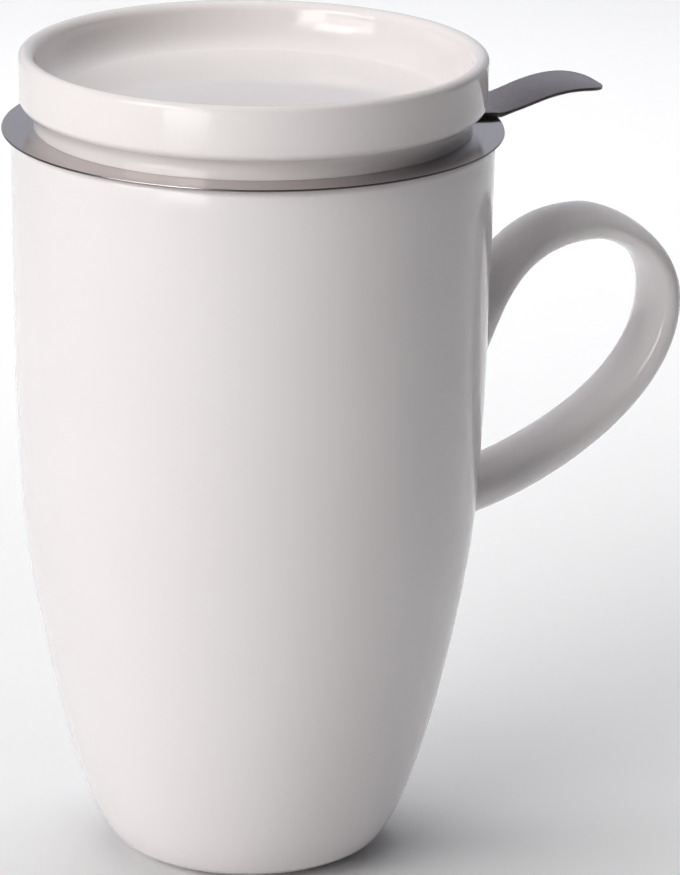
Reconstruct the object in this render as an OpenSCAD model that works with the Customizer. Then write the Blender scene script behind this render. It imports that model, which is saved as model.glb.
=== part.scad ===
// Tall porcelain tea mug with a loose dish-shaped lid and a lift-out steel infuser.
// Millimetres, +Z up. The origin is the centre of the foot ring, on the surface the mug
// stands on. The handle and the infuser's lifting tab both lie on +X.

/* [Mug] */
// Height from the foot to the rim
mug_h = 135; // [125:1:150]
// Outer radius at the rim
rim_r = 43.2; // [42:0.1:46]
// Outer radius at the belly, where the wall begins to turn in
belly_r = 40.2; // [39:0.1:41.5]
// Height of the belly
belly_z = 57.5; // [52:0.5:66]
// Outward lean of the wall at the belly, in degrees
belly_lean = 8; // [6:0.5:10]
// Outer radius at the heel, just above the foot
heel_r = 25.1; // [23.5:0.1:28]
// Height of the heel
heel_z = 3.2; // [2:0.1:5]
// Slope of the wall at the heel, in degrees from level
heel_slope = 50; // [40:1:55]
// Thickness of the wall
wall_t = 3.6; // [3:0.1:4.2]
// Thickness of the floor over the recess under it
floor_t = 4.5; // [3.5:0.1:7]
// Outer radius of the flat face that the mug stands on
foot_r = 17; // [15:0.1:22]
// Width of that face
foot_w = 2.6; // [1.5:0.1:5]
// Depth of the recess inside the foot ring
foot_recess = 1.5; // [0.5:0.1:3]

/* [Handle] */
// Distance of the handle's highest point from the mug's axis
handle_top_r = 63.9; // [60:0.1:68]
// Height of the handle's highest point
handle_top_z = 116.5; // [112:0.1:124]
// Distance of the handle's outermost point from the mug's axis
handle_reach = 82.6; // [78:0.1:90]
// Height of the handle's outermost point
handle_reach_z = 97.7; // [92:0.1:102]
// Height of the upper root's top edge on the wall
upper_root_z = 105.2; // [100:0.1:110]
// Height of the lower root's bottom edge on the wall
lower_root_z = 59; // [52:0.1:66]
// Thickness of the handle at its highest point
handle_top_t = 6.4; // [5:0.1:8]
// Thickness of the handle at its outermost point
handle_reach_t = 6.4; // [5:0.1:8]
// Thickness of the handle where it meets the wall above
upper_root_t = 17.6; // [14:0.1:22]
// Thickness of the handle where it meets the wall below
lower_root_t = 8.8; // [6:0.1:12]
// Width of the upper root
upper_root_w = 22; // [16:0.1:26]
// Width of the handle at its highest point
handle_top_w = 13.1; // [11:0.1:16]
// Width of the handle at its outermost point
handle_reach_w = 14.4; // [11:0.1:16]
// Width of the lower root
lower_root_w = 14; // [11:0.1:18]

/* [Lid] */
// Height of the lid above the infuser's flange
lid_h = 13.7; // [11:0.1:18]
// Height of the neck under the lid's ring
neck_h = 3.9; // [3:0.1:6]
// Step from the neck out to the ring
neck_step = 2.5; // [1:0.1:3]
// Outward flare of the ring, from its bottom to its lip
ring_flare = 0.1; // [0:0.1:2]
// Thickness of the lip
lip_t = 2.9; // [2.4:0.1:3.6]
// Height of the dish's floor above the flange
dish_floor_h = 5.7; // [3:0.1:7]
// Radius of the dish's flat floor
dish_floor_r = 33.4; // [26:0.1:34]
// Thickness of the lid's floor
lid_floor_t = 3; // [2.5:0.1:4.5]
// Width of the lid's seat on the flat of the flange
lid_seat_w = 0.7; // [0.6:0.1:1.5]
// Depth of the locating ring below the flange
locating_h = 5; // [4:0.1:7]
// Thickness of the locating ring
locating_t = 3; // [2:0.1:5]
// Radial clearance of the locating ring in the infuser's mouth
lid_gap = 0.7; // [0.3:0.1:1.2]

/* [Infuser] */
// Thickness of the steel of the rim and the base ring
sheet_t = 0.6; // [0.4:0.1:0.8]
// Thickness of the perforated steel
screen_t = 0.4; // [0.3:0.1:0.6]
// Overhang of the flange past the mug's rim
flange_over = 1.5; // [0.5:0.1:3]
// Depth of the solid collar inside the mug's mouth
collar_h = 14; // [10:1:24]
// Radial clearance of the collar at its lower edge
collar_gap = 1.3; // [0.7:0.1:1.5]
// Depth of the infuser below the mug's rim
infuser_depth = 80; // [60:1:90]
// Radial clearance of the base ring in the mug
base_gap = 0.9; // [0.6:0.1:2]
// Overlap of the perforated wall with the collar
wall_lap = 7; // [4:0.5:8]
// Height of the base ring
base_ring_h = 6; // [4:0.5:10]
// Width of the base ring's ledge under the screen
base_ledge = 3; // [2:0.1:5]
// Diameter of the holes in the base
hole_d = 1.6; // [1:0.1:2]
// Pitch of the holes in the base
hole_pitch = 4; // [3.5:0.1:6]
// Width of the slots in the wall
slot_w = 0.8; // [0.5:0.1:1.2]
// Height of each slot
slot_h = 7; // [4:0.5:10]
// Pitch of the slots round the wall
slot_pitch = 2.6; // [2.4:0.1:5]
// Solid steel between two rows of slots
slot_row_gap = 2; // [1.5:0.1:4]
// Solid steel above and below the slots
slot_margin = 3; // [2:0.1:6]
// Number of slotted panels round the wall
panel_count = 4; // [2:1:6]
// Width of the solid strip between two panels
panel_gap = 12; // [8:1:20]

/* [Tab] */
// Thickness of the lifting tab
tab_t = 0.6; // [0.5:0.1:1.2]
// Width of the tab at the flange
tab_root_w = 12.9; // [9:0.1:15]
// Width of the tab at its tip
tab_tip_w = 13.7; // [9:0.1:16]
// Reach of the tab past the flange's edge
tab_reach = 21.5; // [16:0.1:28]
// Height of the tab's tip above the flange
tab_tip_h = 3.8; // [2:0.1:6]
// Rise of the tab where it leaves the flange, in degrees
tab_rise = 8; // [5:1:20]
// Droop of the tab at its tip, in degrees
tab_droop = 11; // [5:1:40]
// Clearance between the tab's root and the lid's neck
tab_gap = 0.6; // [0.4:0.1:1]

/* [Hidden] */
$fn = 96;
eps = 0.01;

// Rounding of the mug's rim, in and out, with a flat land between the two
rim_round = wall_t * 0.36;
// Lean of the wall just under the rim
rim_lean = 2.8;
// Pull of each curve's control points, as a share of the distance between its ends
heel_pull = 0.2;
belly_pull = 0.19;
shoulder_pull = 0.27;
rim_pull = 0.12;
// Points along each curve of the wall
wall_steps = 18;
// Rise of the cove between the mug's floor and its wall
floor_cove = 7;

function heading(angle) = [cos(angle), sin(angle)];
function bezier_at(p, t) = pow(1 - t, 3) * p[0] + 3 * pow(1 - t, 2) * t * p[1]
    + 3 * (1 - t) * t * t * p[2] + pow(t, 3) * p[3];
function bezier(p, n) = [for (i = [0:n]) bezier_at(p, i / n)];
function bezier_heading(p, t) = let (
    d = pow(1 - t, 2) * (p[1] - p[0]) + 2 * (1 - t) * t * (p[2] - p[1]) + t * t * (p[3] - p[2])
) d / norm(d);
// A curve's points moved to its left by a distance
function bezier_offset(p, n, dist) = [for (i = [0:n])
    let (u = bezier_heading(p, i / n)) bezier_at(p, i / n) + dist * [-u[1], u[0]]];
// Points of a round corner about a centre, from one angle to another
function arc(centre, r, from, to, n) = [for (i = [0:n]) centre + r * heading(from + (to - from) * i / n)];

// Curves of the mug's outer wall, from the heel up
heel = [heel_r, heel_z];
belly = [belly_r, belly_z];
rim = [rim_r, mug_h - rim_round];
low_chord = norm(belly - heel);
high_chord = norm(rim - belly);
low_curve = [heel, heel + heel_pull * low_chord * heading(heel_slope),
    belly - belly_pull * low_chord * heading(90 - belly_lean), belly];
high_curve = [belly, belly + shoulder_pull * high_chord * heading(90 - belly_lean),
    rim - rim_pull * high_chord * heading(90 - rim_lean), rim];
foot_curve = [[foot_r, 0], [foot_r + (heel_r - foot_r) / 3, 0],
    heel - heel_z / 2 * heading(heel_slope), heel];
outer_wall = concat(bezier(foot_curve, 6), [for (p = bezier(low_curve, wall_steps)) if (p[1] > heel_z + eps) p],
    [for (p = bezier(high_curve, wall_steps)) if (p[1] > belly_z + eps) p]);

// The inner wall keeps the wall's thickness, and a cove joins it to the floor
floor_z = foot_recess + floor_t;
inner_all = concat(bezier_offset(low_curve, wall_steps, wall_t), bezier_offset(high_curve, wall_steps, wall_t));
inner_wall = [for (i = [0:len(inner_all) - 1])
    if (i != wall_steps && inner_all[i][1] > floor_z + floor_cove && inner_all[i][1] < mug_h - 2 * rim_round)
        inner_all[i]];
cove_top = inner_wall[0];
cove_lean = inner_wall[1] - inner_wall[0];
cove_foot = [cove_top[0] - 1.8 * floor_cove, floor_z];
cove_curve = [cove_foot, cove_foot + [floor_cove * 0.8, 0],
    cove_top - floor_cove * 0.5 * cove_lean / norm(cove_lean), cove_top];
mouth_r = rim_r - wall_t;

function table_of(points) = [for (p = points) [p[1], p[0]]];
function outer_r_at(z) = lookup(z, table_of(outer_wall));
function inner_r_at(z) = lookup(z, table_of(inner_wall));

// Infuser, from the flange down
collar_z = mug_h - collar_h;
collar_r = inner_r_at(collar_z) - collar_gap;
collar_in_r = collar_r - sheet_t;
flange_r = rim_r + flange_over;
seat_z = mug_h + sheet_t;
base_z = mug_h - infuser_depth;
base_ring_r = inner_r_at(base_z) - base_gap;
wall_bottom_r = base_ring_r - sheet_t;
base_ring_z = base_z + base_ring_h;
screen_z = base_z + sheet_t;
// Radius of the bend between the flange and the collar, on its underside
flange_bend = 0.3;

// Lid, from its locating ring up
locating_r = collar_in_r - lid_gap;
locating_z = seat_z - locating_h;
neck_r = collar_r + flange_bend + lid_seat_w;
ring_z = seat_z + neck_h;
ring_r = neck_r + neck_step;
lip_r = ring_r + ring_flare;
lid_z = seat_z + lid_h;
dish_floor_z = seat_z + dish_floor_h;
lid_under_z = dish_floor_z - lid_floor_t;
// Roundings of the lip, outside and inside its top, and the lean of its inner side in degrees
lip_round = lip_t * 0.4;
lip_in_round = lip_t - lip_round;
lip_lean = 6;
// Two arcs carry the neck out to the ring, and each turns by the same angle
ring_round = 0.6;
neck_fillet = neck_step - ring_round + 0.05;
neck_turn = acos(1 - neck_step / (neck_fillet + ring_round));
edge_round = 0.5;
seat_round = 0.4;

// Mug body: wall, rim, floor and foot ring, one casting
module mug_outline() {
    rim_centre_out = [rim_r - rim_round, mug_h - rim_round];
    rim_centre_in = [mouth_r + rim_round, mug_h - rim_round];
    recess_r = foot_r - foot_w;
    polygon(concat(
        [[0, foot_recess], [recess_r - foot_recess, foot_recess], [recess_r, 0]],
        outer_wall,
        arc(rim_centre_out, rim_round, 10, 90, 8),
        arc(rim_centre_in, rim_round, 90, 180, 8),
        [for (i = [len(inner_wall) - 1:-1:1]) inner_wall[i]],
        [for (i = [10:-1:0]) bezier(cove_curve, 10)[i]],
        [[0, floor_z]]
    ));
}

module mug_body() {
    color("whitesmoke")
    rotate_extrude()
    mug_outline();
}

// Everything inside the mug's outer wall, which the handle's roots are cut to
module mug_outer_solid() {
    rotate_extrude()
    polygon(concat([[0, 0]], outer_wall, [[0, rim[1]]]));
}

// Handle: a band between an outer and an inner edge, each of three curves in the XZ plane
// Sink of the band's ends into the wall, before they are cut to it
root_sink = 1.3;
upper_root = [outer_r_at(upper_root_z) - root_sink, upper_root_z];
lower_root = [outer_r_at(lower_root_z) - root_sink, lower_root_z];
upper_root_in = [upper_root[0], upper_root_z - upper_root_t];
lower_root_in = [lower_root[0], lower_root_z + lower_root_t];
handle_top = [handle_top_r, handle_top_z];
handle_end = [handle_reach, handle_reach_z];
// The inner edge's highest and outermost points lie a little further on than the outer edge's
handle_top_in = handle_top + [1.6, -handle_top_t];
handle_end_in = handle_end + [-handle_reach_t, 1.4];

function edge_curves(root, top, end, low, root_angle, low_angle, pull) = let (
    c1 = norm(top - root),
    c2 = norm(end - top),
    c3 = norm(end - low)
) [
    [root, root + pull[0] * c1 * heading(root_angle), top - [pull[1] * c1, 0], top],
    [top, top + [pull[2] * c2, 0], end + [0, pull[3] * c2], end],
    [end, end - [0, pull[4] * c3], low + pull[5] * c3 * heading(low_angle), low]
];
outer_edge = edge_curves(upper_root, handle_top, handle_end, lower_root, 25.5, 11,
    [0.32, 0.55, 0.2, 0.46, 0.33, 0.32]);
inner_edge = edge_curves(upper_root_in, handle_top_in, handle_end_in, lower_root_in, 57, 16,
    [0.15, 0.58, 0.11, 0.6, 0.37, 0.29]);
handle_steps = [12, 12, 20];
handle_sides = 28;
// Squareness of the band's section: 2 is an ellipse, more is boxier
section_power = 2.1;

function soften(t) = t * t * (3 - 2 * t);
function blend(a, b, t) = a + (b - a) * t;
handle_widths = [upper_root_w, handle_top_w, handle_reach_w, lower_root_w];
handle_stations = concat([for (k = [0:2], i = [0:handle_steps[k] - 1]) [k, i / handle_steps[k]]], [[2, 1]]);
function power_of(v) = sign(v) * pow(abs(v), 2 / section_power);
function station_ring(k, t) = let (
    out = bezier_at(outer_edge[k], t),
    in = bezier_at(inner_edge[k], t),
    w = blend(handle_widths[k], handle_widths[k + 1], k == 0 ? pow(t, 0.6) : soften(t)),
    mid = (out + in) / 2,
    half = (out - in) / 2
) [for (j = [0:handle_sides - 1])
    let (a = 360 * j / handle_sides, u = power_of(cos(a)), v = power_of(sin(a)))
    [mid[0] + half[0] * u, v * w / 2, mid[1] + half[1] * u]];

module handle_band() {
    rings = [for (s = handle_stations) station_ring(s[0], s[1])];
    count = len(rings);
    side_faces = [for (i = [0:count - 2], j = [0:handle_sides - 1])
        let (a = i * handle_sides + j, b = i * handle_sides + (j + 1) % handle_sides)
        each [[a, b, a + handle_sides], [b, b + handle_sides, a + handle_sides]]];
    first_face = [for (j = [handle_sides - 1:-1:0]) j];
    last_face = [for (j = [0:handle_sides - 1]) (count - 1) * handle_sides + j];
    polyhedron([for (ring = rings) each ring], concat([first_face], side_faces, [last_face]));
}

module mug_handle() {
    color("whitesmoke")
    difference() {
        handle_band();
        mug_outer_solid();
    }
}

// Lid: a shallow dish on a neck, with a locating ring under it
module lid() {
    fillet_centre = [neck_r + neck_fillet, ring_z - neck_fillet * sin(neck_turn)];
    ring_centre = [ring_r - ring_round, ring_z + ring_round * sin(neck_turn)];
    lip_centre = [lip_r - lip_round, lid_z - lip_round];
    lip_in_centre = [lip_r - lip_round, lid_z - lip_in_round];
    locating_in_r = locating_r - locating_t;
    dish_top = lip_in_centre + lip_in_round * heading(180 - lip_lean);
    dish_foot = [dish_floor_r, dish_floor_z];
    cove = 0.55 * (dish_top - dish_foot);
    dish_curve = [dish_top, dish_top - cove[1] * heading(90 - lip_lean), dish_foot + [cove[0], 0], dish_foot];
    color("whitesmoke")
    rotate_extrude()
    polygon(concat(
        [[0, lid_under_z]],
        [[locating_in_r, lid_under_z]],
        arc([locating_in_r + edge_round, locating_z + edge_round], edge_round, 180, 270, 4),
        arc([locating_r - edge_round, locating_z + edge_round], edge_round, 270, 360, 4),
        [[locating_r, seat_z]],
        arc([neck_r - seat_round, seat_z + seat_round], seat_round, 270, 360, 4),
        arc(fillet_centre, neck_fillet, 180, 180 - neck_turn, 5),
        [for (i = [1:7]) ring_centre + ring_round * heading(neck_turn * (i / 7 - 1) - 3 * i / 7)],
        arc(lip_centre, lip_round, 0, 90, 6),
        [for (i = [1:8]) lip_in_centre + lip_in_round * heading(90 + (90 - lip_lean) * i / 8)],
        [for (i = [1:14]) bezier_at(dish_curve, i / 14)],
        [[0, dish_floor_z]]
    ));
}

// Infuser rim: the flat flange on the mug's rim and the solid collar below it
module infuser_rim() {
    bend_centre = [collar_r + flange_bend, mug_h - flange_bend];
    color("silver")
    rotate_extrude()
    polygon(concat(
        [[collar_in_r, collar_z], [collar_r, collar_z]],
        arc(bend_centre, flange_bend, 180, 90, 5),
        [[flange_r, mug_h], [flange_r, seat_z]],
        arc(bend_centre, flange_bend + sheet_t, 90, 180, 5)
    ));
}

// Infuser wall: slotted sheet, lapped into the collar and tapered to the base ring
wall_top_z = collar_z + wall_lap;
slots_z = base_ring_z + slot_margin;
slot_rise = slot_h + slot_row_gap;
row_count = max(1, floor((collar_z - slot_margin - slots_z + slot_row_gap) / slot_rise));
panel_width = 2 * PI * wall_bottom_r / panel_count - panel_gap;
column_count = floor(panel_width / slot_pitch) + 1;
column_turn = slot_pitch / wall_bottom_r * 180 / PI;
slot_turn = slot_w / wall_bottom_r * 180 / PI;
// How far a slot's cutter passes the wall, in and out
slot_reach = 2;

module wall_shell() {
    rotate_extrude()
    polygon([
        [wall_bottom_r - screen_t, screen_z], [wall_bottom_r, screen_z],
        [wall_bottom_r, base_ring_z], [collar_in_r, collar_z],
        [collar_in_r, wall_top_z], [collar_in_r - screen_t, wall_top_z],
        [collar_in_r - screen_t, collar_z], [wall_bottom_r - screen_t, base_ring_z]
    ]);
}

module infuser_wall() {
    color("silver")
    difference() {
        wall_shell();
        for (panel = [0:panel_count - 1], row = [0:row_count - 1], column = [0:column_count - 1])
            rotate([0, 0, 360 / panel_count * (panel + 0.5)
                + column_turn * (column - (column_count - 1) / 2) - slot_turn / 2])
            rotate_extrude(angle = slot_turn)
            translate([wall_bottom_r - slot_reach, slots_z + row * slot_rise])
            square([collar_r - wall_bottom_r + 2 * slot_reach, slot_h]);
    }
}

// Infuser base ring: a pressed hoop round the foot of the wall, with a ledge under the screen
module infuser_base_ring() {
    color("silver")
    rotate_extrude()
    polygon([
        [base_ring_r - sheet_t - base_ledge, base_z], [base_ring_r, base_z],
        [base_ring_r, base_ring_z], [wall_bottom_r, base_ring_z],
        [wall_bottom_r, screen_z], [base_ring_r - sheet_t - base_ledge, screen_z]
    ]);
}

// Infuser base screen: the perforated disc that closes the bottom
screen_fit = 0.1;
screen_r = wall_bottom_r - screen_t - screen_fit;
module infuser_base_screen() {
    field_r = screen_r - base_ledge - hole_d;
    row_rise = hole_pitch * sqrt(3) / 2;
    rows = floor(field_r / row_rise);
    columns = floor(field_r / hole_pitch) + 1;
    color("silver")
    translate([0, 0, screen_z])
    linear_extrude(screen_t)
    difference() {
        circle(r = screen_r);
        for (row = [-rows:rows], column = [-columns:columns]) {
            x = (column + (row % 2 == 0 ? 0 : 0.5)) * hole_pitch;
            y = row * row_rise;
            if (norm([x, y]) < field_r)
                translate([x, y])
                circle(d = hole_d, $fn = 24);
        }
    }
}

// Infuser tab: a bent strip, flat on the flange and arched out over its edge
// Pull of the curve's control points, as a share of the reach
tab_rise_pull = 0.3;
tab_tip_pull = 0.5;
// Length of the rounded tip
tab_round = 6;
tab_root_x = neck_r + tab_gap;
// The tab leaves the flange just inside its edge
tab_bend_x = flange_r - 0.2;
tab_tip = [flange_r + tab_reach, seat_z + tab_tip_h];
tab_flat = [[tab_root_x, seat_z + tab_t], [tab_bend_x, seat_z + tab_t]];
tab_curve = [tab_flat[1], tab_flat[1] + tab_reach * tab_rise_pull * heading(tab_rise),
    tab_tip - tab_reach * tab_tip_pull * heading(-tab_droop), tab_tip];

module infuser_tab() {
    steps = 16;
    under = bezier_offset(tab_curve, steps, -tab_t);
    tip_x = tab_tip[0] + eps;
    blank_h = 20;
    color("dimgray")
    intersection() {
        rotate([90, 0, 0])
        linear_extrude(2 * tab_tip_w, center = true)
        polygon(concat(
            [[tab_root_x, seat_z], [tab_root_x, seat_z + tab_t]],
            bezier(tab_curve, steps),
            [for (i = [steps:-1:1]) under[i]],
            [[tab_bend_x, seat_z]]
        ));
        translate([0, 0, seat_z - blank_h / 2])
        linear_extrude(2 * blank_h)
        polygon(concat(
            [[tab_root_x - 1, -tab_root_w / 2], [tab_root_x - 1, tab_root_w / 2]],
            [for (a = [90:-7.5:-90])
                [tip_x - tab_round + tab_round * cos(a), tab_tip_w / 2 * sin(a)]]
        ));
    }
}

mug_body();
mug_handle();
lid();
infuser_rim();
infuser_wall();
infuser_base_ring();
infuser_base_screen();
infuser_tab();
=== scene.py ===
import bmesh
import bpy
from math import acos, atan2, cos, degrees, hypot, pi, radians, sin, sqrt
from mathutils import Matrix, Vector


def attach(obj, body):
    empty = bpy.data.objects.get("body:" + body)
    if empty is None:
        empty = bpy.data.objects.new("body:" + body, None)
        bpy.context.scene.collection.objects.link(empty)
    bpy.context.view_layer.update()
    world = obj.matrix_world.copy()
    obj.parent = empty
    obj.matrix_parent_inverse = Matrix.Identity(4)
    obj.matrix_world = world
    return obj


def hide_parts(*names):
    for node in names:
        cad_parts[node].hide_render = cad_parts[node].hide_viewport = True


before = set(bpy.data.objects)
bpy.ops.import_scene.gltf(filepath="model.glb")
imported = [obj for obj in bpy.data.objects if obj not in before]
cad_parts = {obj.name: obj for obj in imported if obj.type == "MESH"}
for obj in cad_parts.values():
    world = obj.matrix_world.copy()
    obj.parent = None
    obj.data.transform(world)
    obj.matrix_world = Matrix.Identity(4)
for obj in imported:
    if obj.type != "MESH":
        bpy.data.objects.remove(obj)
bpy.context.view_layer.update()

MM = 0.001


# ---------------------------------------------------------------- curves, in mm
def heading(angle):
    return Vector((cos(radians(angle)), sin(radians(angle))))


def bezier_at(p, t):
    s = 1 - t
    return s ** 3 * p[0] + 3 * s * s * t * p[1] + 3 * s * t * t * p[2] + t ** 3 * p[3]


def bezier(p, n):
    return [bezier_at(p, i / n) for i in range(n + 1)]


def bezier_heading(p, t):
    s = 1 - t
    d = s * s * (p[1] - p[0]) + 2 * s * t * (p[2] - p[1]) + t * t * (p[3] - p[2])
    return d.normalized()


def bezier_offset(p, n, dist):
    """A curve's points moved to its left by a distance."""
    out = []
    for i in range(n + 1):
        u = bezier_heading(p, i / n)
        out.append(bezier_at(p, i / n) + dist * Vector((-u.y, u.x)))
    return out


def arc(x, y, r, start, stop, n):
    return [Vector((x, y)) + r * heading(start + (stop - start) * i / n) for i in range(n + 1)]


def line(a, b, n):
    a, b = Vector(a), Vector(b)
    return [a.lerp(b, i / n) for i in range(n + 1)]


def lookup(table, z):
    """The radius at a height, from a table of (height, radius)."""
    for (z0, r0), (z1, r1) in zip(table, table[1:]):
        if z0 <= z <= z1:
            return r0 + (r1 - r0) * (z - z0) / (z1 - z0)
    return table[-1][1] if z > table[-1][0] else table[0][1]


# ---------------------------------------------------------------- sizes of the mug, in mm, as in the CAD
mug_h = 135
rim_r = 43.2
belly = Vector((40.2, 57.5))
belly_lean = 8
heel = Vector((25.1, 3.2))
heel_slope = 50
wall_t = 3.6
floor_t = 4.5
foot_r = 17
foot_w = 2.6
foot_recess = 1.5
rim_round = wall_t * 0.36
rim_lean = 2.8
floor_cove = 7
floor_z = foot_recess + floor_t
rim = Vector((rim_r, mug_h - rim_round))

# Pull of each curve's control points, as a share of the distance between its ends
heel_pull, belly_pull, shoulder_pull, rim_pull = 0.2, 0.19, 0.27, 0.12
foot_steps, wall_steps = 14, 60
low_chord = (belly - heel).length
high_chord = (rim - belly).length
low_curve = [heel, heel + heel_pull * low_chord * heading(heel_slope),
             belly - belly_pull * low_chord * heading(90 - belly_lean), belly]
high_curve = [belly, belly + shoulder_pull * high_chord * heading(90 - belly_lean),
              rim - rim_pull * high_chord * heading(90 - rim_lean), rim]
foot_curve = [Vector((foot_r, 0)), Vector((foot_r + (heel.x - foot_r) / 3, 0)),
              heel - heel.y / 2 * heading(heel_slope), heel]
outer_wall = bezier(foot_curve, foot_steps)
outer_wall += bezier(low_curve, wall_steps)[1:] + bezier(high_curve, wall_steps)[1:]
inner_wall = bezier_offset(low_curve, wall_steps, wall_t)[:-1]
inner_wall += bezier_offset(high_curve, wall_steps, wall_t)
inner_wall = [p for p in inner_wall if floor_z + floor_cove < p.y < mug_h - 2 * rim_round]

# The glaze draws the wall in a little over the last few millimetres under the rim, which the CAD leaves out
draw_in_z, draw_in_curve = mug_h - 5.5, 0.0085
outer_wall = [Vector((p.x - draw_in_curve * max(0, p.y - draw_in_z) ** 2, p.y)) for p in outer_wall]
outer_table = [(p.y, p.x) for p in outer_wall]
inner_table = [(p.y, p.x) for p in inner_wall]

# ---------------------------------------------------------------- sizes of the infuser, in mm, as in the CAD
sheet_t = 0.6
screen_t = 0.4
flange_over = 1.5
collar_h = 14
collar_gap = 1.3
flange_bend = 0.3
infuser_depth = 80
base_gap = 0.9
base_ring_h = 6
base_ledge = 3
flange_r = rim_r + flange_over
seat_z = mug_h + sheet_t
collar_z = mug_h - collar_h
collar_r = lookup(inner_table, collar_z) - collar_gap
collar_in_r = collar_r - sheet_t
base_z = mug_h - infuser_depth
base_ring_r = lookup(inner_table, base_z) - base_gap
base_ring_z = base_z + base_ring_h
wall_bottom_r = base_ring_r - sheet_t
screen_z = base_z + sheet_t

# ---------------------------------------------------------------- sizes of the lid, in mm, as in the CAD
# Only the neck's height and step are 0.05 mm more, and the dish's floor is 0.25 mm higher
lid_h = 13.7
lid_gap = 0.7
lid_seat_w = 0.7
locating_h = 5
locating_t = 3
neck_h = 3.95
neck_step = 2.55
ring_flare = 0.1
lip_t = 2.9
dish_floor_h = 5.95
dish_floor_r = 33.4
lid_floor_t = 3
locating_r = collar_in_r - lid_gap
locating_in_r = locating_r - locating_t
locating_z = seat_z - locating_h
neck_r = collar_r + flange_bend + lid_seat_w
ring_z = seat_z + neck_h
ring_r = neck_r + neck_step
lip_r = ring_r + ring_flare
lid_z = seat_z + lid_h
dish_floor_z = seat_z + dish_floor_h
lid_under_z = dish_floor_z - lid_floor_t

# The flange is a very shallow cone: it lies higher where the lid stands on it than at its edge
flange_rise = 0.15


def flange_top(r):
    return seat_z + flange_rise * (flange_r - r) / (flange_r - neck_r)


# ---------------------------------------------------------------- mesh helpers
def make_piece(name, body, node, verts, faces, materials, face_slots=None, sharp=40):
    mesh = bpy.data.meshes.new(name)
    mesh.from_pydata([tuple(c * MM for c in v) for v in verts], [], faces)
    for m in materials:
        mesh.materials.append(m)
    if face_slots:
        mesh.polygons.foreach_set("material_index", face_slots)
    mesh.validate()
    work = bmesh.new()
    work.from_mesh(mesh)
    bmesh.ops.recalc_face_normals(work, faces=work.faces)
    work.to_mesh(mesh)
    work.free()
    mesh.shade_smooth()
    mesh.set_sharp_from_angle(angle=radians(sharp))
    mesh.update()
    piece = bpy.data.objects.new(name, mesh)
    bpy.context.scene.collection.objects.link(piece)
    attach(piece, body)
    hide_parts(node)
    return piece


def lathe(profile, closed, sides=224):
    """Turns a profile of (radius, height) about the axis. An open one ends on the axis at both ends."""
    verts, rows = [], []
    for p in profile:
        if p[0] < 1e-6:
            rows.append([len(verts)])
            verts.append((0, 0, p[1]))
        else:
            rows.append(list(range(len(verts), len(verts) + sides)))
            verts += [(p[0] * cos(2 * pi * j / sides), p[0] * sin(2 * pi * j / sides), p[1])
                      for j in range(sides)]
    pairs = list(zip(rows, rows[1:]))
    if closed:
        pairs.append((rows[-1], rows[0]))
    faces, spans = [], []
    for k, (a, b) in enumerate(pairs):
        for j in range(sides):
            n = (j + 1) % sides
            if len(a) == 1 and len(b) == 1:
                continue
            if len(a) == 1:
                faces.append((a[0], b[n], b[j]))
            elif len(b) == 1:
                faces.append((a[j], a[n], b[0]))
            else:
                faces.append((a[j], a[n], b[n], b[j]))
            spans.append(k)
    return verts, faces, spans


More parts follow.
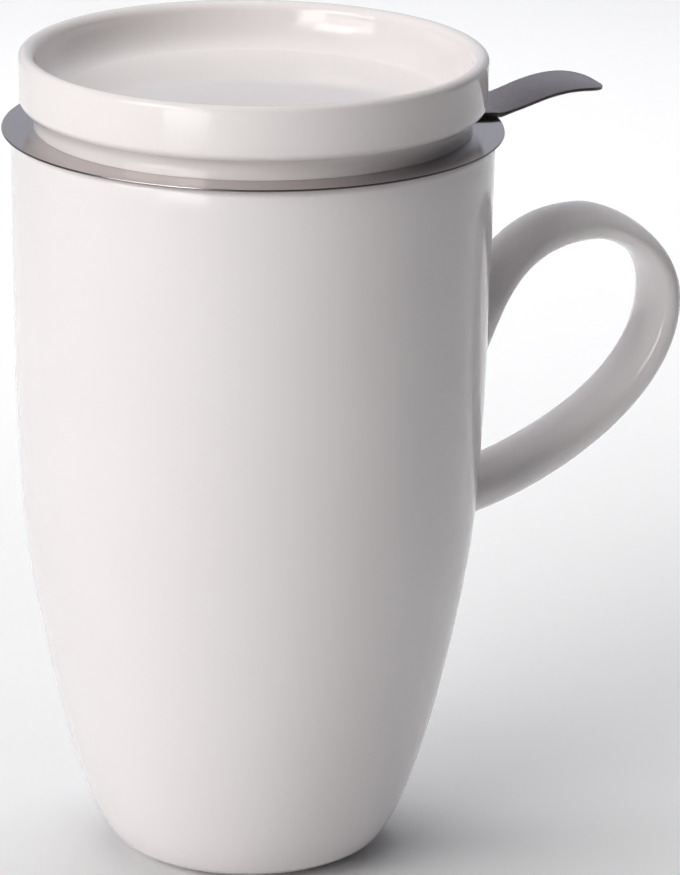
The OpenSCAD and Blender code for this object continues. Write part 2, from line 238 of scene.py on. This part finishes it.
# ---------------------------------------------------------------- materials
class Nodes:
    def __init__(self, name):
        self.material = bpy.data.materials.new(name)
        self.material.use_nodes = True
        self.tree = self.material.node_tree
        self.shader = self.tree.nodes["Principled BSDF"]
        self.place = self.add("ShaderNodeTexCoord").outputs["Object"]

    def add(self, kind, **inputs):
        node = self.tree.nodes.new(kind)
        for key, value in inputs.items():
            self.put(node.inputs[key.replace("_", " ")], value)
        return node

    def put(self, socket, value):
        if isinstance(value, bpy.types.NodeSocket):
            self.tree.links.new(value, socket)
        else:
            socket.default_value = value

    def set(self, **inputs):
        for key, value in inputs.items():
            self.put(self.shader.inputs[key.replace("_", " ")], value)

    def math(self, operation, a, b=0.0):
        node = self.add("ShaderNodeMath")
        node.operation = operation
        self.put(node.inputs[0], a)
        self.put(node.inputs[1], b)
        return node.outputs[0]

    def noise(self, vector, scale, detail=2.0, roughness=0.5):
        return self.add("ShaderNodeTexNoise", Vector=vector, Scale=scale, Detail=detail,
                        Roughness=roughness).outputs["Fac"]

    def scaled(self, vector, x, y, z):
        node = self.add("ShaderNodeMapping", Vector=vector)
        node.inputs["Scale"].default_value = (x, y, z)
        return node.outputs[0]

    def between(self, fac, low, high, from_low=0.35, from_high=0.65):
        node = self.add("ShaderNodeMapRange")
        self.put(node.inputs["Value"], fac)
        node.inputs["From Min"].default_value = from_low
        node.inputs["From Max"].default_value = from_high
        node.inputs["To Min"].default_value = low
        node.inputs["To Max"].default_value = high
        return node.outputs["Result"]

    def mix(self, fac, a, b):
        node = self.add("ShaderNodeMix")
        node.data_type = "RGBA"
        self.put(node.inputs[0], fac)
        self.put(node.inputs[6], a)
        self.put(node.inputs[7], b)
        return node.outputs[2]

    def bump(self, height, distance, normal=None):
        node = self.add("ShaderNodeBump")
        node.inputs["Distance"].default_value = distance
        node.inputs["Strength"].default_value = 1.0
        self.put(node.inputs["Height"], height)
        if normal is not None:
            self.put(node.inputs["Normal"], normal)
        return node.outputs[0]

    def turned(self, across, along, up):
        """Coordinates that follow lathe marks: fine across the radius, long round the axis."""
        split = self.add("ShaderNodeSeparateXYZ", Vector=self.place)
        x, y, z = split.outputs[0], split.outputs[1], split.outputs[2]
        squares = self.math("ADD", self.math("MULTIPLY", x, x), self.math("MULTIPLY", y, y))
        joined = self.add("ShaderNodeCombineXYZ")
        self.put(joined.inputs[0], self.math("MULTIPLY", self.math("SQRT", squares), across))
        self.put(joined.inputs[1], self.math("MULTIPLY", self.math("ARCTAN2", y, x), along))
        self.put(joined.inputs[2], self.math("MULTIPLY", z, up))
        return joined.outputs[0]


def glaze(name, light, deep, roughness=0.08):
    """Clear glaze with a faint mottle, long waves and fine orange peel."""
    n = Nodes(name)
    mottle = n.between(n.noise(n.place, 28, 4, 0.55), 0, 1, 0.3, 0.7)
    n.set(Base_Color=n.mix(mottle, light, deep),
          Roughness=n.between(n.noise(n.place, 160, 3), roughness - 0.02, roughness + 0.03),
          IOR=1.5)
    waves = n.bump(n.noise(n.place, 55, 1), 0.00006)
    n.set(Normal=n.bump(n.noise(n.place, 900, 2), 0.000004, waves))
    return n.material


def biscuit(name):
    """Bare fired clay, as under the foot."""
    n = Nodes(name)
    grain = n.between(n.noise(n.place, 1500, 4), 0, 1)
    n.set(Base_Color=n.mix(grain, (0.72, 0.68, 0.62, 1), (0.58, 0.53, 0.47, 1)),
          Roughness=n.between(n.noise(n.place, 700, 3), 0.7, 0.9),
          Normal=n.bump(n.noise(n.place, 2500, 4), 0.00004))
    return n.material


def steel(n, marks, smears, light, dark, low, high, depth):
    """Bare metal. The marks set its colour and bump, and with the smears its roughness, low to high."""
    n.set(Base_Color=n.mix(n.between(marks, 0, 1, 0.3, 0.7), light, dark),
          Metallic=1.0,
          Roughness=n.between(n.math("MULTIPLY", n.math("ADD", marks, smears), 0.5), low, high),
          Normal=n.bump(marks, depth))
    return n.material


def turned_steel(name, *finish):
    n = Nodes(name)
    marks = n.noise(n.turned(9000, 1.3, 9000), 1.0, 3, 0.6)
    return steel(n, marks, n.noise(n.place, 60, 3), *finish)


def brushed_steel(name, *finish):
    n = Nodes(name)
    lines = n.noise(n.scaled(n.place, 120, 6000, 1500), 1.0, 3, 0.6)
    return steel(n, lines, n.noise(n.place, 2600, 2), *finish)


porcelain = glaze("Mug_Glaze", (0.875, 0.838, 0.838, 1), (0.855, 0.818, 0.816, 1))
lid_porcelain = glaze("Lid_Glaze", (0.89, 0.843, 0.837, 1), (0.87, 0.822, 0.814, 1))
foot_biscuit = biscuit("Foot_Biscuit")
flange_steel = turned_steel("Flange_Steel", (0.56, 0.52, 0.52, 1), (0.52, 0.482, 0.482, 1),
                            0.1, 0.17, 0.0000005)
# The flange's cut edge is rougher, and painted near black as painted shade for its dark reflection and the
# shadow beneath it
sheared_shaded_steel = turned_steel("Sheared_Painted_Shade_Steel", (0.2, 0.18, 0.18, 1), (0.13, 0.115, 0.115, 1),
                             0.35, 0.5, 0.000002)
hoop_steel = turned_steel("Hoop_Steel", (0.64, 0.64, 0.65, 1), (0.56, 0.56, 0.57, 1),
                          0.14, 0.24, 0.000002)
sheet_steel = brushed_steel("Sheet_Steel", (0.62, 0.62, 0.63, 1), (0.54, 0.54, 0.55, 1),
                            0.2, 0.32, 0.000002)
tab_steel = brushed_steel("Tab_Steel", (0.46, 0.415, 0.415, 1), (0.375, 0.335, 0.337, 1),
                          0.26, 0.4, 0.000004)
# The tab's cut edges are rougher, and painted near black as painted shade for the shadow beneath the tab and
# its dark reflection in the flange
tab_edge_shaded_steel = brushed_steel("Tab_Edge_Painted_Shade_Steel", (0.13, 0.12, 0.125, 1), (0.08, 0.075, 0.08, 1),
                               0.4, 0.55, 0.000006)


# ---------------------------------------------------------------- mug body
def mug_body():
    recess_r = foot_r - foot_w
    foot_edge = 0.5
    foot_round = foot_edge * 0.4
    top = inner_wall[0]
    lean = (inner_wall[1] - inner_wall[0]).normalized()
    cove = [Vector((top.x - 1.8 * floor_cove, floor_z)), Vector((top.x - floor_cove, floor_z)),
            top - floor_cove * 0.5 * lean, top]
    profile = line((0, foot_recess), (recess_r - foot_recess - 0.6, foot_recess), 8)
    profile += [Vector((recess_r - 0.75, 0.85)), Vector((recess_r - 0.15, 0.15))]
    biscuit_from = len(profile) - 1
    profile += line((recess_r + 0.2, 0), (foot_r - foot_edge, 0), 4)
    biscuit_to = len(profile)
    profile += arc(foot_r - foot_edge, foot_round, foot_round, 270, 300, 2)[1:]
    profile += [p for p in outer_wall if p.y > foot_edge * 0.3]
    drawn_in = outer_wall[-1].x - rim_round
    profile += arc(drawn_in, mug_h - rim_round, rim_round, 6, 90, 10)
    profile += arc(rim_r - wall_t + rim_round, mug_h - rim_round, rim_round, 90, 180, 10)
    profile += inner_wall[:0:-1]
    profile += bezier(cove, 20)[::-1]
    profile += line((cove[0].x, floor_z), (0, floor_z), 10)[1:]
    verts, faces, spans = lathe(profile, False)
    slots = [1 if biscuit_from <= s < biscuit_to else 0 for s in spans]
    return make_piece("Mug_Body", "mug", "mug_body", verts, faces,
                      [porcelain, foot_biscuit], slots)


# ---------------------------------------------------------------- handle
handle_top, handle_end = Vector((63.9, 116.5)), Vector((82.6, 97.7))
handle_t = 6.4
upper_root_z, lower_root_z = 105.2, 59
upper_root_t, lower_root_t = 17.6, 8.8
handle_widths = [22, 13.1, 14.4, 14]
# Squareness of the band's section: 2 is an ellipse, more is boxier
section_power = 2.1
# Sink of the band's ends into the wall, before they are cut to it
root_sink = 1.3
root_fillet = 1.8


def edge_curves(root, top, end, low, root_angle, low_angle, pull):
    c1, c2, c3 = (top - root).length, (end - top).length, (end - low).length
    return [
        [root, root + pull[0] * c1 * heading(root_angle), top - Vector((pull[1] * c1, 0)), top],
        [top, top + Vector((pull[2] * c2, 0)), end + Vector((0, pull[3] * c2)), end],
        [end, end - Vector((0, pull[4] * c3)), low + pull[5] * c3 * heading(low_angle), low],
    ]


def handle():
    upper = Vector((lookup(outer_table, upper_root_z) - root_sink, upper_root_z))
    lower = Vector((lookup(outer_table, lower_root_z) - root_sink, lower_root_z))
    outer = edge_curves(upper, handle_top, handle_end, lower, 25.5, 11,
                        [0.32, 0.55, 0.2, 0.46, 0.33, 0.32])
    # The inner edge's highest and outermost points lie a little further on than the outer edge's
    inner = edge_curves(upper - Vector((0, upper_root_t)), handle_top + Vector((1.6, -handle_t)),
                        handle_end + Vector((-handle_t, 1.4)), lower + Vector((0, lower_root_t)), 57, 16,
                        [0.15, 0.58, 0.11, 0.6, 0.37, 0.29])
    steps = [40, 30, 56]
    stations = [(k, i / steps[k]) for k in range(3) for i in range(steps[k])] + [(2, 1.0)]
    sides = 64
    rings = []
    for k, t in stations:
        out, inn = bezier_at(outer[k], t), bezier_at(inner[k], t)
        soft = t ** 0.6 if k == 0 else t * t * (3 - 2 * t)
        w = handle_widths[k] + (handle_widths[k + 1] - handle_widths[k]) * soft
        mid, half = (out + inn) / 2, (out - inn) / 2
        ring = []
        for j in range(sides):
            a = 2 * pi * j / sides
            u, v = (abs(c) ** (2 / section_power) * (1 if c > 0 else -1) for c in (cos(a), sin(a)))
            ring.append(Vector((mid.x + half.x * u, v * w / 2, mid.y + half.y * u)))
        rings.append(ring)

    def outside(p):
        return hypot(p.x, p.y) - lookup(outer_table, p.z)

    bend_steps, bend_sink = 10, 0.04

    def trimmed(line_points, away_from):
        """Cuts one lengthwise line at the wall and rounds it into the wall."""
        first = next(i for i, p in enumerate(line_points) if outside(p) > 0)
        a, b = line_points[first - 1], line_points[first]
        da, db = outside(a), outside(b)
        hit = a.lerp(b, -da / (db - da))
        run, rest = 0.0, first
        previous = hit
        while run < root_fillet:
            run += (line_points[rest] - previous).length
            previous = line_points[rest]
            rest += 1
        r, z = hypot(hit.x, hit.y), hit.z
        slope = lookup(outer_table, z + 0.5) - lookup(outer_table, z - 0.5)
        normal = Vector((hit.x / r, hit.y / r, -slope)).normalized()
        spread = hit - away_from
        spread -= spread.dot(normal) * normal
        wall_point = hit + root_fillet * spread.normalized()
        wall_r = lookup(outer_table, wall_point.z) - bend_sink
        angle = atan2(wall_point.y, wall_point.x)
        wall_point = Vector((wall_r * cos(angle), wall_r * sin(angle), wall_point.z))
        start = line_points[rest]
        bend = [start * (1 - t) ** 2 + hit * 2 * t * (1 - t) + wall_point * t * t
                for t in (i / bend_steps for i in range(bend_steps, -1, -1))]
        return bend, rest

    lines = [[ring[j] for ring in rings] for j in range(sides)]
    centre_up = sum(rings[0], Vector()) / sides
    centre_low = sum(rings[-1], Vector()) / sides
    starts = [trimmed(one, centre_up) for one in lines]
    stops = [trimmed(one[::-1], centre_low) for one in lines]

    # Between its two bends each line is divided again into equal lengths
    lengths = 150
    columns = []
    for j, one in enumerate(lines):
        bend_a, from_a = starts[j]
        bend_b, from_b = stops[j]
        kept = one[from_a:len(rings) - from_b]
        spans = [0.0]
        for p, q in zip(kept, kept[1:]):
            spans.append(spans[-1] + (q - p).length)
        body = []
        where = 0
        for i in range(lengths + 1):
            s = spans[-1] * i / lengths
            while where < len(kept) - 2 and spans[where + 1] < s:
                where += 1
            gap = spans[where + 1] - spans[where]
            body.append(kept[where].lerp(kept[where + 1], (s - spans[where]) / gap if gap else 0))
        columns.append(bend_a[:-1] + body + bend_b[::-1][1:])
    rows = len(columns[0])
    verts = [columns[j][i] for i in range(rows) for j in range(sides)]
    faces = [(i * sides + j, i * sides + (j + 1) % sides,
              (i + 1) * sides + (j + 1) % sides, (i + 1) * sides + j)
             for i in range(rows - 1) for j in range(sides)]
    faces.append(tuple(range(sides - 1, -1, -1)))
    faces.append(tuple((rows - 1) * sides + j for j in range(sides)))
    return make_piece("Mug_Handle", "mug", "mug_handle", verts, faces, [porcelain], sharp=70)


# ---------------------------------------------------------------- lid
def lid():
    lip_round, lip_lean = lip_t * 0.4, 6
    lip_in = lip_t - lip_round
    lip_centre = Vector((lip_r - lip_round, lid_z - lip_in))
    dish_top = lip_centre + lip_in * heading(180 - lip_lean)
    disc = Vector((dish_floor_r, dish_floor_z))
    cove = 0.55 * (dish_top - disc)
    dish = [dish_top, dish_top - cove.y * heading(90 - lip_lean), disc + Vector((cove.x, 0)), disc]
    # Two arcs carry the neck out to the ring, and each turns by the same angle
    fillet, ring_round, edge, under_round = 3.3, 1.8, 0.5, 0.8
    turn = degrees(acos(1 - neck_step / (fillet + ring_round)))
    fillet_z = ring_z - fillet * sin(radians(turn))
    round_z = ring_z + ring_round * sin(radians(turn))
    foot_round, foot_turn = 0.5, 30
    seat = flange_top(neck_r - foot_round * (1 - cos(radians(foot_turn))))
    foot_z = seat + foot_round * sin(radians(foot_turn))
    profile = line((0, lid_under_z), (locating_in_r - under_round, lid_under_z), 8)
    profile += arc(locating_in_r - under_round, lid_under_z - under_round, under_round, 90, 0, 5)[1:]
    profile += arc(locating_in_r + edge, locating_z + edge, edge, 180, 270, 5)
    profile += arc(locating_r - edge, locating_z + edge, edge, 270, 360, 5)
    profile += [Vector((locating_r, seat - 0.1)), Vector((locating_r + 0.1, seat))]
    profile += arc(neck_r - foot_round, foot_z, foot_round, -foot_turn, 0, 10)
    profile += arc(neck_r + fillet, fillet_z, fillet, 180, 180 - turn, 10)
    profile += arc(ring_r - ring_round, round_z, ring_round, -turn, -3, 16)[1:]
    profile += line((ring_r, ring_z + ring_round + 0.3), (lip_r, lid_z - lip_round - 0.3), 6)
    profile += arc(lip_r - lip_round, lid_z - lip_round, lip_round, 0, 90, 10)
    profile += arc(lip_centre.x, lip_centre.y, lip_in, 90, 180 - lip_lean, 14)[1:]
    profile += bezier(dish, 36)[1:]
    profile += line((disc.x - 0.4, disc.y), (0, disc.y), 12)
    verts, faces, _ = lathe(profile, False)
    return make_piece("Lid_Dish", "lid", "lid", verts, faces, [lid_porcelain])


# ---------------------------------------------------------------- infuser
def infuser_rim():
    edge_h, edge_lean, edge_round = 0.32, 14, 0.05
    # Share of the edge's height that is rough and painted near black: painted shade for the edge's dark
    # reflection and the shadow beneath it
    sheared_shaded_share = 0.58
    out = heading(edge_lean)
    low_r, low_z = flange_r - edge_round, seat_z - edge_h + edge_round
    high_r = low_r - (edge_h - 2 * edge_round) * out.y / out.x
    cx, cz = collar_r + flange_bend, mug_h - flange_bend
    bend = flange_bend + sheet_t
    profile = [Vector((collar_in_r + 0.1, collar_z)), Vector((collar_r - 0.1, collar_z)),
               Vector((collar_r, collar_z + 0.1))]
    profile += line((collar_r, collar_z + 0.5), (collar_r, cz - 0.2), 8)
    profile += arc(cx, cz, flange_bend, 180, 90, 6)
    profile += [Vector((cx + 0.2, mug_h)), Vector((rim_r - 1, mug_h)), Vector((rim_r - 0.5, mug_h + 0.01))]
    profile += line((rim_r, mug_h + 0.05), (low_r - 0.05, low_z - edge_round), 4)
    sheared_shaded_from = len(profile) - 1
    profile += arc(low_r, low_z, edge_round, 290, 360 + edge_lean, 4)
    profile.append(profile[-1] + sheared_shaded_share * edge_h * heading(90 + edge_lean))
    sheared_shaded_to = len(profile) - 1
    profile += arc(high_r, seat_z - edge_round, edge_round, edge_lean, 80, 4)
    profile += [Vector((r, flange_top(r))) for r, _ in line((high_r - 0.1, 0), (cx + 0.1, 0), 16)]
    profile += arc(cx, flange_top(cx) - bend, bend, 90, 180, 8)
    profile += line((collar_in_r, cz - 0.4), (collar_in_r, collar_z + 0.1), 8)
    verts, faces, spans = lathe(profile, True)
    slots = [1 if sheared_shaded_from <= s < sheared_shaded_to else 0 for s in spans]
    return make_piece("Infuser_Flange", "infuser", "infuser_rim", verts, faces,
                      [flange_steel, sheared_shaded_steel], slots)


def infuser_base_ring():
    inner = wall_bottom_r - base_ledge
    corner, bead = 0.6, 0.35
    profile = [Vector((inner, base_z + 0.1)), Vector((inner + 0.1, base_z))]
    profile += arc(base_ring_r - corner, base_z + corner, corner, 270, 360, 6)
    profile += line((base_ring_r, base_z + 0.9), (base_ring_r, base_ring_z - 0.3), 4)
    profile += arc(base_ring_r - 0.3, base_ring_z - 0.3, 0.3, 0, 180, 8)
    profile += [Vector((wall_bottom_r, base_ring_z - bead)), Vector((wall_bottom_r, screen_z)),
                Vector((inner, screen_z))]
    verts, faces, _ = lathe(profile, True)
    return make_piece("Infuser_Base_Ring", "infuser", "infuser_base_ring", verts, faces,
                      [hoop_steel])


def solid_sheet(point, cells, thickness_dir, name, node, material):
    """Joins flat cells into one sheet, then gives it its thickness."""
    verts, faces, index = [], [], {}

    def vertex(uv):
        key = (round(uv[0], 5), round(uv[1], 5))
        if key not in index:
            index[key] = len(verts)
            verts.append(point(*uv))
        return index[key]

    for cell in cells:
        face = []
        for uv in cell:
            v = vertex(uv)
            if v not in face:
                face.append(v)
        if len(face) > 2:
            faces.append(tuple(face))
    piece = make_piece(name, "infuser", node, verts, faces, [material])
    thick = piece.modifiers.new("Sheet", "SOLIDIFY")
    thick.thickness = screen_t * MM
    thick.offset = thickness_dir
    return piece


def infuser_wall():
    wall_lap = 7
    slot_w, slot_h, row_gap, margin = 0.8, 7, 2, 3
    pitch = 2.6
    panels, panel_gap = 4, 12
    slots_z = base_ring_z + margin
    rise = slot_h + row_gap
    rows = int((collar_z - margin - slots_z + row_gap) // rise)
    columns = int((2 * pi * wall_bottom_r / panels - panel_gap) // pitch) + 1
    turn = pitch / wall_bottom_r
    half = slot_w / wall_bottom_r / 2
    cap, cap_steps = slot_w / 2, 6
    quarter = [pi / 2 * i / cap_steps for i in range(cap_steps + 1)]
    strip_steps = 8

    def radius(z):
        if z < base_ring_z:
            return wall_bottom_r
        if z > collar_z:
            return collar_in_r
        return wall_bottom_r + (collar_in_r - wall_bottom_r) * (z - base_ring_z) / (collar_z - base_ring_z)

    def point(a, z):
        return radius(z) * cos(a), radius(z) * sin(a), z

    heights = [screen_z, base_ring_z, slots_z]
    for row in range(rows):
        heights += [slots_z + row * rise + slot_h, slots_z + (row + 1) * rise]
    heights = heights[:-1] + [collar_z, collar_z + wall_lap]

    def is_slotted(z):
        row = (z - slots_z) / rise
        return abs(row - round(row)) < 1e-6 and 0 <= round(row) < rows

    start = [2 * pi / panels * (p + 0.5) - turn * columns / 2 for p in range(panels)]
    cells = []
    for p in range(panels):
        for c in range(columns):
            a0 = start[p] + c * turn
            a1, am = a0 + turn, a0 + turn / 2
            for z0, z1 in zip(heights, heights[1:]):
                left, right = [], []
                if is_slotted(z0):
                    # The slot's edge from its foot to its head, with round ends, on both sides of am
                    edge = [(half * sin(q), z0 + cap - cap * cos(q)) for q in quarter]
                    edge += [(half * sin(q), z1 - cap + cap * cos(q)) for q in quarter[::-1]]
                    left = [(am - w, z) for w, z in edge][1:-1]
                    right = [(am + w, z) for w, z in edge][-2:0:-1]
                cells.append([(a0, z0), (am, z0)] + left + [(am, z1), (a0, z1)])
                cells.append([(am, z0), (a1, z0), (a1, z1), (am, z1)] + right)
        end = start[p] + columns * turn
        following = start[(p + 1) % panels] + (2 * pi if p == panels - 1 else 0)
        for i in range(strip_steps):
            a0 = end + (following - end) * i / strip_steps
            a1 = end + (following - end) * (i + 1) / strip_steps
            for z0, z1 in zip(heights, heights[1:]):
                cells.append([(a0, z0), (a1, z0), (a1, z1), (a0, z1)])
    # The last strip ends where the first panel starts, a full turn on
    full_turn = 2 * pi - 1e-6
    cells = [[(start[0] if a - start[0] > full_turn else a, z) for a, z in cell] for cell in cells]
    return solid_sheet(point, cells, -1, "Infuser_Wall", "infuser_wall", sheet_steel)


def infuser_tab():
    # It is thick over the flange and thins to the rest over the taper, in mm along X
    root_t, tab_t, taper = 0.95, 0.62, 2.5
    root_x = neck_r + 0.6
    bend_x = flange_r - 0.2
    tip = Vector((flange_r + 20.9, seat_z + 3.85))
    start = Vector((bend_x, seat_z + root_t - 0.1))
    reach = tip.x - start.x
    top = [start, start + reach * 0.3 * heading(7), tip - reach * 0.5 * heading(-11), tip]
    root_half, tip_half, tip_round = 6.45, 7.4, 4.8
    round_from = 1 - tip_round / reach
    root_stops, strip_stops, tip_stops = 4, 48, 16
    path = [(Vector((r, flange_top(r) + root_t)), Vector((1, 0)))
            for r in (root_x + (bend_x - root_x) * i / root_stops for i in range(root_stops))]
    stops = [round_from * i / strip_stops for i in range(strip_stops)]
    stops += [round_from + (1 - round_from) * sin(pi / 2 * i / tip_stops) for i in range(tip_stops + 1)]
    path += [(bezier_at(top, t), bezier_heading(top, t)) for t in stops]
    corner, corner_points = 0.16, 5
    sections = []
    for p, u in path:
        share = (p.x - root_x) / (tip.x - root_x)
        half = root_half + (tip_half - root_half) * share
        over = (p.x - (tip.x - tip_round)) / tip_round
        if over > 0:
            half -= tip_round * (1 - sqrt(1 - min(over, 1) ** 2))
        half = max(half, corner + 0.02)
        down = Vector((u.y, -u.x))
        thin = min(1, max(0, (p.x - bend_x) / taper))
        t = root_t + (tab_t - root_t) * thin
        ring = []
        for cx, cy, a0 in ((half - corner, corner, 0), (-half + corner, corner, 90),
                           (-half + corner, t - corner, 180), (half - corner, t - corner, 270)):
            for i in range(corner_points):
                a = radians(a0 + 90 / (corner_points - 1) * i)
                across, depth = cx + corner * cos(a), cy - corner * sin(a)
                q = p + down * depth
                ring.append(Vector((q.x, across, q.y)))
        sections.append(ring)
    count = len(sections[0])
    verts = [v for ring in sections for v in ring]
    faces = [(i * count + j, (i + 1) * count + j,
              (i + 1) * count + (j + 1) % count, i * count + (j + 1) % count)
             for i in range(len(sections) - 1) for j in range(count)]
    # Both long sides and both ends are cut edges; their steel is rougher and painted near black, a painted
    # shade for the shadow beneath the tab and its dark reflection in the flange
    sides = (2 * corner_points - 1, 4 * corner_points - 1)
    slots = [1 if j in sides else 0 for i in range(len(sections) - 1) for j in range(count)] + [1, 1]
    faces.append(tuple(range(count)))
    faces.append(tuple((len(sections) - 1) * count + j for j in range(count - 1, -1, -1)))
    return make_piece("Infuser_Tab", "infuser", "infuser_tab", verts, faces,
                      [tab_steel, tab_edge_shaded_steel], slots, sharp=50)


mug_body()
handle()
lid()
infuser_rim()
infuser_base_ring()
infuser_wall()
infuser_tab()
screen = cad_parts["infuser_base_screen"]
screen.data.materials.clear()
screen.data.materials.append(sheet_steel)


# ---------------------------------------------------------------- lights, in metres
view_bearing = radians(20.0)
toward = Vector((-sin(view_bearing), -cos(view_bearing), 0))
rightward = Vector((cos(view_bearing), -sin(view_bearing), 0))
mug_middle = Vector((0, 0, 0.085))


def direction(azimuth, elevation):
    """From the mug: azimuth 0 is towards the camera and positive is to its right."""
    a, e = radians(azimuth), radians(elevation)
    return (toward * cos(a) + rightward * sin(a)) * cos(e) + Vector((0, 0, sin(e)))


def softbox(name, azimuth, elevation, distance, width, height, power, color=(1, 1, 1), target=mug_middle):
    data = bpy.data.lights.new(name, "AREA")
    data.shape = "RECTANGLE"
    data.size, data.size_y = width, height
    data.energy = power
    data.color = color
    lamp = bpy.data.objects.new(name, data)
    way = direction(azimuth, elevation)
    lamp.location = target + way * distance
    lamp.rotation_euler = (-way).to_track_quat("-Z", "Y").to_euler()
    lamp.visible_camera = False
    bpy.context.scene.collection.objects.link(lamp)
    return lamp


# The key light is five boxes on the left: azimuth, elevation, width, height and power of each
warm = (1.0, 0.985, 0.975)
for name, azimuth, elevation, width, tall, power in (("Key_Low", -46, 10, 1.0, 0.34, 3.4),
                                                     ("Key_Near", -30, 12, 0.35, 0.4, 1.3),
                                                     ("Key_Middle", -46, 25, 1.0, 0.34, 4.1),
                                                     ("Key_High", -47, 40, 1.05, 0.34, 1.0),
                                                     ("Key_Core", -47, 32, 0.45, 0.4, 2.5)):
    softbox(name, azimuth, elevation, 1.3, width, tall, power, warm)

# A narrow strip close by, which shows only as a reflection
strip = softbox("Strip", -28.7, 0, 0.257, 0.099, 0.028, 0.03, target=Vector((0, 0, 0.0962)))
strip.visible_diffuse = False
top_light = softbox("Top", 180, 88, 1.2, 0.9, 0.9, 3.5)
top_light.visible_glossy = False
backdrop = softbox("Backdrop", 180, 90, 0.8, 0.85, 0.8, 2.0, target=-toward * 0.54)
backdrop.data.spread = radians(85)
backdrop.visible_glossy = False

# Eight lamps that point straight down keep the far floor pale. None is over the mug
tile = 2.7
for column, row in ((i, j) for i in (-1, 0, 1) for j in (-1, 0, 1) if i or j):
    overhead = softbox("Overhead_%d_%d" % (column + 1, row + 1), 0, 90, 1.2, tile, tile, 0.8 * tile * tile,
                       target=Vector((column * tile, row * tile, 0)))
    overhead.data.spread = radians(40)
    overhead.visible_glossy = False

# The room is near black towards the camera, lighter beyond the mug and pale overhead
world = bpy.data.worlds.new("Studio")
world.use_nodes = True
room = world.node_tree
place = room.nodes.new("ShaderNodeTexCoord")
dot = room.nodes.new("ShaderNodeVectorMath")
dot.operation = "DOT_PRODUCT"
dot.inputs[1].default_value = -toward
room.links.new(place.outputs["Generated"], dot.inputs[0])
ramp = room.nodes.new("ShaderNodeValToRGB")
room.links.new(dot.outputs["Value"], ramp.inputs[0])
ramp.color_ramp.elements[0].color = (0.012, 0.012, 0.013, 1)
ramp.color_ramp.elements[1].color = (0.49, 0.51, 0.57, 1)
ramp.color_ramp.elements.new(0.6).color = (0.17, 0.175, 0.19, 1)
split = room.nodes.new("ShaderNodeSeparateXYZ")
room.links.new(place.outputs["Generated"], split.inputs[0])
overhead_share = room.nodes.new("ShaderNodeMapRange")
overhead_share.interpolation_type = "SMOOTHSTEP"
overhead_share.inputs["From Min"].default_value = 0.85
overhead_share.inputs["From Max"].default_value = 0.98
room.links.new(split.outputs["Z"], overhead_share.inputs["Value"])
ceiling = room.nodes.new("ShaderNodeMix")
ceiling.data_type = "RGBA"
ceiling.inputs[7].default_value = (0.38, 0.38, 0.39, 1)
room.links.new(overhead_share.outputs["Result"], ceiling.inputs[0])
room.links.new(ramp.outputs[0], ceiling.inputs[6])
room.links.new(ceiling.outputs[2], room.nodes["Background"].inputs["Color"])
bpy.context.scene.world = world

# ---------------------------------------------------------------- floor, in metres
floor_half = 4.0
corners = [(x * floor_half, y * floor_half, 0) for x, y in ((-1, -1), (1, -1), (1, 1), (-1, 1))]
floor_mesh = bpy.data.meshes.new("Floor")
floor_mesh.from_pydata(corners, [], [(0, 1, 2, 3)])
floor = bpy.data.objects.new("Floor", floor_mesh)
bpy.context.scene.collection.objects.link(floor)
paper = Nodes("Floor_Paper")
paper_fibre = paper.noise(paper.place, 40, 3)
paper.set(Base_Color=paper.mix(paper_fibre, (0.92, 0.92, 0.925, 1), (0.91, 0.91, 0.915, 1)),
          Roughness=0.9)
floor_mesh.materials.append(paper.material)

# ---------------------------------------------------------------- camera, in metres
# The picture is taller than wide, so the sensor's size spans its height
sensor, picture_h, focal_pixels = 36, 875, 5200
camera_data = bpy.data.cameras.new("Camera")
camera_data.sensor_width = sensor
camera_data.lens = focal_pixels * sensor / picture_h
camera_data.clip_end = 20
camera = bpy.data.objects.new("Camera", camera_data)
pitch, bearing, roll = radians(17.528), radians(20.037), radians(0.87)
look = Vector((sin(bearing) * cos(pitch), cos(bearing) * cos(pitch), -sin(pitch)))
side = Vector((cos(bearing), -sin(bearing), 0))
up = side.cross(look)
side, up = cos(roll) * side + sin(roll) * up, cos(roll) * up - sin(roll) * side
pose = Matrix((side, up, -look)).transposed().to_4x4()
pose.translation = Vector((-0.2923, -0.8489, 0.3613))
camera.matrix_world = pose
bpy.context.scene.collection.objects.link(camera)
bpy.context.scene.camera = camera
bpy.context.scene.view_settings.view_transform = "Standard"
